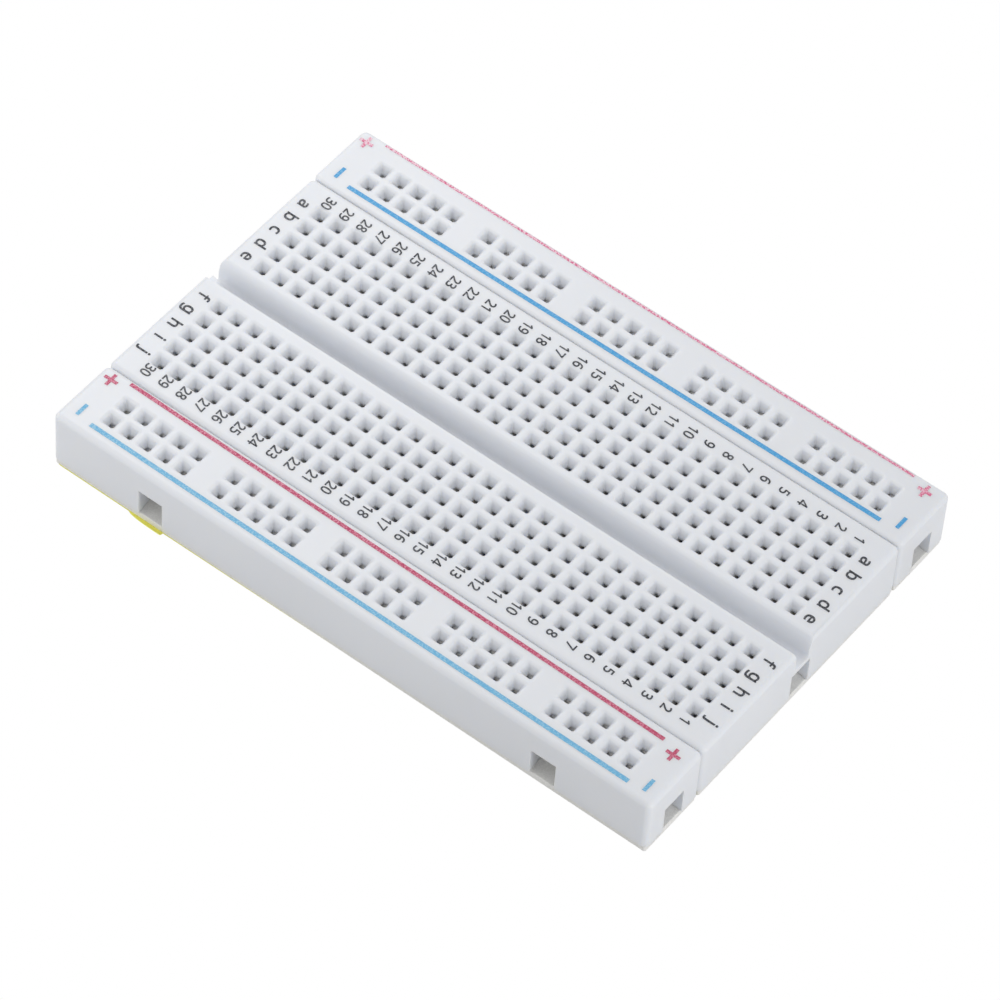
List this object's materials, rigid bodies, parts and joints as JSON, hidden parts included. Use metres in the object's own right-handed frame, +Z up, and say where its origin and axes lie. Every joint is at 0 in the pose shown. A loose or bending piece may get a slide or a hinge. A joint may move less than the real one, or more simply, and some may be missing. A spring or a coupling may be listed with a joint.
{
  "type": "solderless breadboard",
  "caption": "Half-size solderless breadboard: a trough-split block of tie points between two clip-on power rails, with spring clips, adhesive foam and a release liner.",
  "frame": {"origin": "on the surface the board rests on, under the centre of the 30 by 10 field of tie points", "axes": "+Z up out of the tie points; +X along the board towards the end of row 1; +Y across it from columns f-j towards columns a-e"},
  "size_m": [0.0833, 0.0564, 0.0085],
  "materials": {
    "white_abs": "satin moulded",
    "contact_metal": "nickel-plated phosphor bronze",
    "adhesive_foam": "closed-cell foam, matt",
    "liner_paper": "waxed release paper",
    "black_print": "screen-printed ink",
    "red_print": "screen-printed ink",
    "blue_print": "screen-printed ink"
  },
  "bodies": {
    "liner": {"release_liner": "liner_paper"},
    "near_rail": {"near_power_rail": "white_abs", "near_rail_foam": "adhesive_foam", "near_rail_minus_strip": "contact_metal", "near_rail_plus_strip": "contact_metal"},
    "terminal_block": {"terminal_block": "white_abs", "terminal_block_foam": "adhesive_foam", "clip_row_01_a_e": "contact_metal", "clip_row_01_f_j": "contact_metal", "clip_row_02_a_e": "contact_metal", "clip_row_02_f_j": "contact_metal", "clip_row_03_a_e": "contact_metal", "clip_row_03_f_j": "contact_metal", "clip_row_04_a_e": "contact_metal", "clip_row_04_f_j": "contact_metal", "clip_row_05_a_e": "contact_metal", "clip_row_05_f_j": "contact_metal", "clip_row_06_a_e": "contact_metal", "clip_row_06_f_j": "contact_metal", "clip_row_07_a_e": "contact_metal", "clip_row_07_f_j": "contact_metal", "clip_row_08_a_e": "contact_metal", "clip_row_08_f_j": "contact_metal", "clip_row_09_a_e": "contact_metal", "clip_row_09_f_j": "contact_metal", "clip_row_10_a_e": "contact_metal", "clip_row_10_f_j": "contact_metal", "clip_row_11_a_e": "contact_metal", "clip_row_11_f_j": "contact_metal", "clip_row_12_a_e": "contact_metal", "clip_row_12_f_j": "contact_metal", "clip_row_13_a_e": "contact_metal", "clip_row_13_f_j": "contact_metal", "clip_row_14_a_e": "contact_metal", "clip_row_14_f_j": "contact_metal", "clip_row_15_a_e": "contact_metal", "clip_row_15_f_j": "contact_metal", "clip_row_16_a_e": "contact_metal", "clip_row_16_f_j": "contact_metal", "clip_row_17_a_e": "contact_metal", "clip_row_17_f_j": "contact_metal", "clip_row_18_a_e": "contact_metal", "clip_row_18_f_j": "contact_metal", "clip_row_19_a_e": "contact_metal", "clip_row_19_f_j": "contact_metal", "clip_row_20_a_e": "contact_metal", "clip_row_20_f_j": "contact_metal", "clip_row_21_a_e": "contact_metal", "clip_row_21_f_j": "contact_metal", "clip_row_22_a_e": "contact_metal", "clip_row_22_f_j": "contact_metal", "clip_row_23_a_e": "contact_metal", "clip_row_23_f_j": "contact_metal", "clip_row_24_a_e": "contact_metal", "clip_row_24_f_j": "contact_metal"},
    "far_rail": {"far_power_rail": "white_abs", "far_rail_foam": "adhesive_foam", "far_rail_minus_strip": "contact_metal", "far_rail_plus_strip": "contact_metal"}
  },
  "joints": [
    {"name": "liner_release", "type": "slide", "parent": "liner", "child": "near_rail", "axis": [0, 0, 1], "range_m": [0, 0.012]},
    {"name": "terminal_block_lift", "type": "slide", "parent": "near_rail", "child": "terminal_block", "axis": [0, 0, 1], "range_m": [0, 0.012]},
    {"name": "far_rail_lift", "type": "slide", "parent": "terminal_block", "child": "far_rail", "axis": [0, 0, 1], "range_m": [0, 0.012]}
  ]
}
